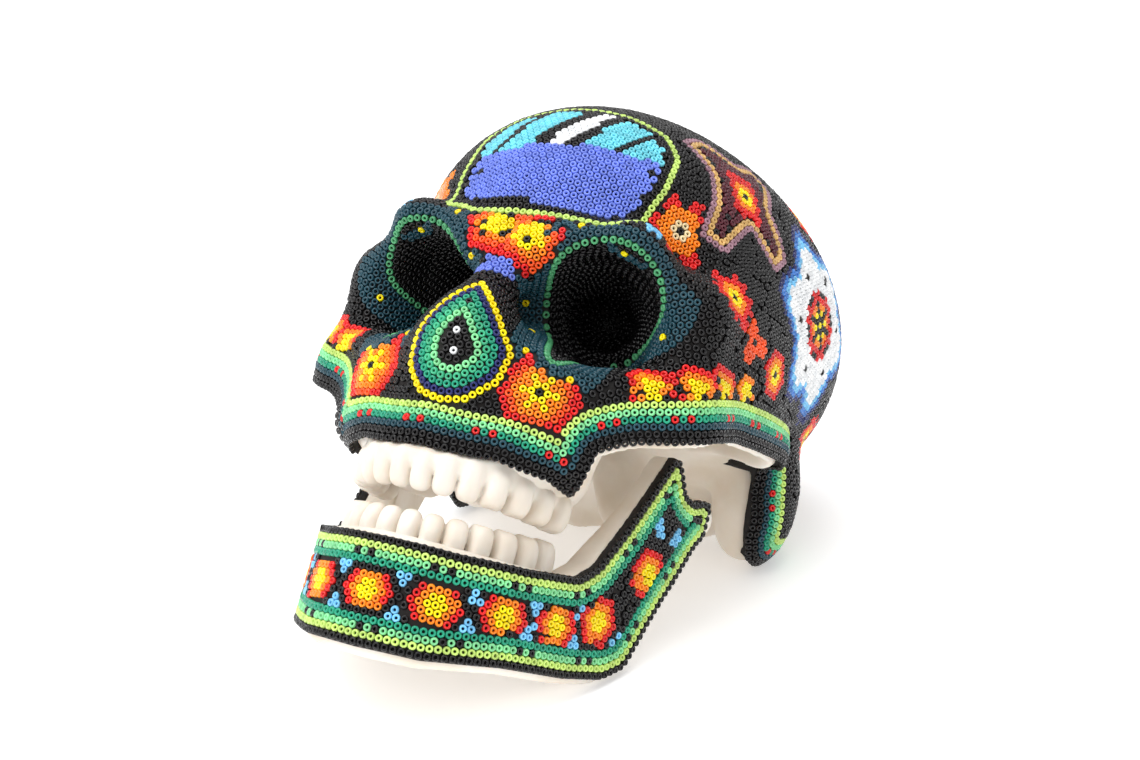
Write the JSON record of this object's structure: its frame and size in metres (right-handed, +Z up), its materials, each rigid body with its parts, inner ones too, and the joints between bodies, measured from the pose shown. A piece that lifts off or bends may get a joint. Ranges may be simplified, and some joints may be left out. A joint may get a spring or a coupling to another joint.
{
  "type": "beaded skull figure",
  "caption": "Skull a little under life size, in cast resin with a hinged jaw, coated in wax and covered with glass seed beads.",
  "frame": {"origin": "on the surface it rests on, under the middle of the whole figure's outline", "axes": "+Z up; the face looks towards -Y and is tipped back; +X is the skull's own left"},
  "size_m": [0.1254, 0.2254, 0.1374],
  "materials": {
    "resin": "satin cast resin, bone white",
    "wax": "dull dark wax",
    "steel": "drawn wire",
    "black_beads": "glossy opaque glass seed beads",
    "teal_beads": "glossy opaque glass seed beads",
    "green_beads": "glossy opaque glass seed beads",
    "blue_beads": "glossy opaque glass seed beads",
    "red_orange_beads": "glossy opaque glass seed beads",
    "maroon_beads": "glossy opaque glass seed beads",
    "white_beads": "glossy opaque glass seed beads"
  },
  "bodies": {
    "skull": {"skull_casting": "resin", "skull_wax_layer": "wax", "left_jaw_pin": "steel", "right_jaw_pin": "steel", "skull_edge_beads": "green_beads", "skull_ground_beads": "black_beads", "left_orbit_lining_beads": "black_beads", "right_orbit_lining_beads": "black_beads", "left_orbit_rim_beads": "teal_beads", "right_orbit_rim_beads": "teal_beads", "forehead_hand_beads": "blue_beads", "brow_flower_beads": "red_orange_beads", "nose_leaf_beads": "green_beads", "crown_star_beads": "green_beads", "nape_sun_beads": "red_orange_beads", "left_cheek_flower_beads": "red_orange_beads", "right_cheek_flower_beads": "red_orange_beads", "left_temple_deer_beads": "maroon_beads", "right_temple_deer_beads": "maroon_beads", "left_side_flower_beads": "white_beads", "right_side_flower_beads": "white_beads"},
    "jaw": {"jaw_casting": "resin", "jaw_wax_layer": "wax", "jaw_lower_edge_beads": "green_beads", "jaw_upper_edge_beads": "green_beads", "jaw_flower_beads": "red_orange_beads"}
  },
  "joints": [
    {"name": "jaw_hinge", "type": "hinge", "parent": "skull", "child": "jaw", "pos_m": [0, -0.00623, 0.02746], "axis": [1, 0, 0], "range_deg": [-2, 24]}
  ]
}
